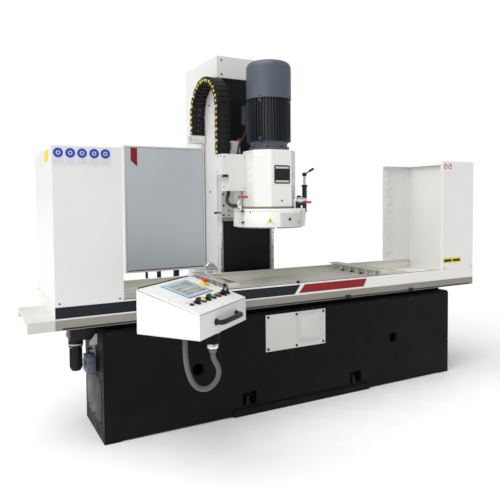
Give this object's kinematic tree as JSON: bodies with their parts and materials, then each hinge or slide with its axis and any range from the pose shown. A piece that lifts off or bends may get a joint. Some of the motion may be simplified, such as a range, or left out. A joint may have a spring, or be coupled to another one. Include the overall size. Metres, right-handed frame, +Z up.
{
  "type": "surface grinder",
  "caption": "Moving-table surface grinder: long black bed, tray with a splash tower at each end, column with vertical wheel head, cabinet and swivel control panel.",
  "frame": {"origin": "on the floor, at the centre of the bed's footprint", "axes": "+X along the bed to the operator's right, +Y from the operator to the column, +Z up"},
  "size_m": [3.496, 2.23, 2.566],
  "materials": {
    "bed_black": "satin black machine paint",
    "sheet_white": "light textured powder coat",
    "way_grey": "satin grey paint",
    "door_grey": "satin blue-grey powder coat",
    "head_white": "smooth gloss machine enamel",
    "motor_grey": "smooth blue-grey motor paint",
    "cover_black": "satin black",
    "machined_iron": "ground and machined",
    "ground_steel": "ground",
    "bearing_steel": "polished",
    "chrome": "polished",
    "screw_black": "black oxide",
    "abrasive": "coarse bonded grit",
    "black_plastic": "moulded",
    "chain_black": "moulded nylon",
    "motor_black": "satin",
    "pump_blue": "moulded",
    "red_plastic": "moulded",
    "yellow_plastic": "moulded",
    "green_plastic": "moulded",
    "screen": "glass-fronted display",
    "hose_black": "smooth",
    "conduit_grey": "corrugated"
  },
  "bodies": {
    "base": {"bed_casting": "bed_black", "bed_cover_plate": "way_grey", "cover_screws": "screw_black", "table_gearbox": "motor_black", "table_motor": "motor_black", "lube_unit": "pump_blue", "column": "sheet_white", "column_way_cover": "cover_black", "lift_motor": "motor_black", "chain_bracket": "sheet_white", "cable_chain": "chain_black", "cabinet_body": "sheet_white", "cabinet_hose_a": "hose_black", "cabinet_hose_b": "hose_black", "cabinet_hose_c": "hose_black", "arm_bracket": "bed_black"},
    "table": {"table_slab": "way_grey", "table_nut": "bearing_steel", "tray": "sheet_white", "work_table": "machined_iron", "left_tower": "sheet_white", "right_tower": "sheet_white"},
    "table_drive": {"table_screw": "bearing_steel"},
    "left_work_support": {"left_support": "machined_iron"},
    "right_work_support": {"right_support": "machined_iron"},
    "head": {"saddle": "way_grey", "saddle_cover": "sheet_white", "lift_nut": "bearing_steel", "spindle_housing": "head_white", "spindle_bearings": "bearing_steel", "motor_frame": "motor_grey", "motor_cowl": "motor_grey", "terminal_box": "motor_grey", "motor_conduit": "hose_black", "wheel_guard": "head_white", "left_valve": "chrome", "right_valve": "chrome", "dresser_body": "screw_black"},
    "lift_drive": {"lift_screw": "bearing_steel"},
    "spindle": {"spindle_shaft": "ground_steel", "wheel_plate": "machined_iron", "grinding_segments": "abrasive"},
    "left_cock": {"left_valve_lever": "red_plastic"},
    "right_cock": {"right_valve_lever": "red_plastic"},
    "dresser": {"dresser_rod": "ground_steel"},
    "door": {"cabinet_door": "door_grey"},
    "switch": {"main_switch": "red_plastic"},
    "arm": {"swivel_arm": "bed_black"},
    "panel": {"panel_box": "sheet_white", "panel_handle": "black_plastic", "panel_conduit": "conduit_grey"},
    "lid": {"panel_lid": "sheet_white", "touch_screen": "screen"},
    "mode": {"mode_selector": "black_plastic"},
    "feed": {"feed_selector": "black_plastic"},
    "reset": {"reset_button": "yellow_plastic"},
    "start": {"start_button": "green_plastic"},
    "stop": {"stop_button": "red_plastic"},
    "jog": {"jog_stick": "black_plastic"},
    "estop": {"estop_button": "red_plastic"}
  },
  "joints": [
    {"name": "table_slide", "type": "slide", "parent": "base", "child": "table", "axis": [1, 0, 0], "range_m": [-1, 1]},
    {"name": "table_screw_spin", "type": "hinge", "parent": "base", "child": "table_drive", "pos_m": [0, 0, 0.64], "axis": [1, 0, 0], "range_deg": [-18100, 18100]},
    {"name": "left_support_slide", "type": "slide", "parent": "table", "child": "left_work_support", "axis": [1, 0, 0], "range_m": [-0.6, 0.35]},
    {"name": "right_support_slide", "type": "slide", "parent": "table", "child": "right_work_support", "axis": [1, 0, 0], "range_m": [-0.35, 0.45]},
    {"name": "head_slide", "type": "slide", "parent": "base", "child": "head", "axis": [0, 0, 1], "range_m": [-0.29, 0.3], "deforming": ["cable_chain"]},
    {"name": "lift_screw_spin", "type": "hinge", "parent": "base", "child": "lift_drive", "pos_m": [-0.054, 0.645, 1.5], "axis": [0, 0, 1], "range_deg": [-10800, 10900]},
    {"name": "spindle_spin", "type": "hinge", "parent": "head", "child": "spindle", "pos_m": [-0.054, 0.145, 1.3], "axis": [0, 0, 1], "continuous": true},
    {"name": "left_cock_turn", "type": "hinge", "parent": "head", "child": "left_cock", "pos_m": [-0.345, 0.07, 1.454], "axis": [0, 0, 1], "range_deg": [-90, 0]},
    {"name": "right_cock_turn", "type": "hinge", "parent": "head", "child": "right_cock", "pos_m": [0.15, -0.012, 1.411], "axis": [0, 0, 1], "range_deg": [-70, 15]},
    {"name": "dresser_plunge", "type": "slide", "parent": "head", "child": "dresser", "axis": [0, 0, 1], "range_m": [-0.06, 0]},
    {"name": "door_hinge", "type": "hinge", "parent": "base", "child": "door", "pos_m": [-0.985, 0.745, 1.365], "axis": [0, 0, -1], "range_deg": [0, 100]},
    {"name": "main_switch_turn", "type": "hinge", "parent": "base", "child": "switch", "pos_m": [-1.016, 0.9, 1.4], "axis": [-1, 0, 0], "range_deg": [0, 90]},
    {"name": "arm_swing", "type": "hinge", "parent": "base", "child": "arm", "pos_m": [-0.851, -0.335, 0.712], "axis": [0, 0, 1], "range_deg": [-20, 20]},
    {"name": "panel_swivel", "type": "hinge", "parent": "arm", "child": "panel", "pos_m": [-0.979, -0.855, 0.717], "axis": [0, 0, 1], "range_deg": [-40, 40]},
    {"name": "lid_hinge", "type": "hinge", "parent": "panel", "child": "lid", "pos_m": [-1.33128, -0.71347, 0.986], "axis": [0.7965, 0.6046, 0], "range_deg": [-75, 0]},
    {"name": "mode_turn", "type": "hinge", "parent": "lid", "child": "mode", "pos_m": [-1.0601, -0.85572, 0.91755], "axis": [0.1645, -0.2167, 0.9623], "range_deg": [-45, 45]},
    {"name": "feed_turn", "type": "hinge", "parent": "lid", "child": "feed", "pos_m": [-0.97248, -0.78922, 0.91755], "axis": [0.1645, -0.2167, 0.9623], "range_deg": [-45, 45]},
    {"name": "jog_tilt", "type": "hinge", "parent": "lid", "child": "jog", "pos_m": [-0.83636, -0.68406, 0.92004], "axis": [0.7965, 0.6046, 0], "range_deg": [-18, 18], "stiffness_Nm_per_rad": 0.6},
    {"name": "reset_press", "type": "slide", "parent": "lid", "child": "reset", "axis": [-0.1645, 0.2167, -0.9623], "range_m": [0, 0.004], "stiffness_N_per_m": 900, "springref_m": -0.004},
    {"name": "start_press", "type": "slide", "parent": "lid", "child": "start", "axis": [-0.1645, 0.2167, -0.9623], "range_m": [0, 0.004], "stiffness_N_per_m": 900, "springref_m": -0.004},
    {"name": "stop_press", "type": "slide", "parent": "lid", "child": "stop", "axis": [-0.1645, 0.2167, -0.9623], "range_m": [0, 0.004], "stiffness_N_per_m": 900, "springref_m": -0.004},
    {"name": "estop_press", "type": "slide", "parent": "lid", "child": "estop", "axis": [-0.1645, 0.2167, -0.9623], "range_m": [0, 0.006], "stiffness_N_per_m": 900, "springref_m": -0.004}
  ],
  "couplings": [
    {"joint": "table_screw_spin", "follows": "table_slide", "rad_per_m": 314.16},
    {"joint": "lift_screw_spin", "follows": "head_slide", "rad_per_m": 628.32}
  ]
}
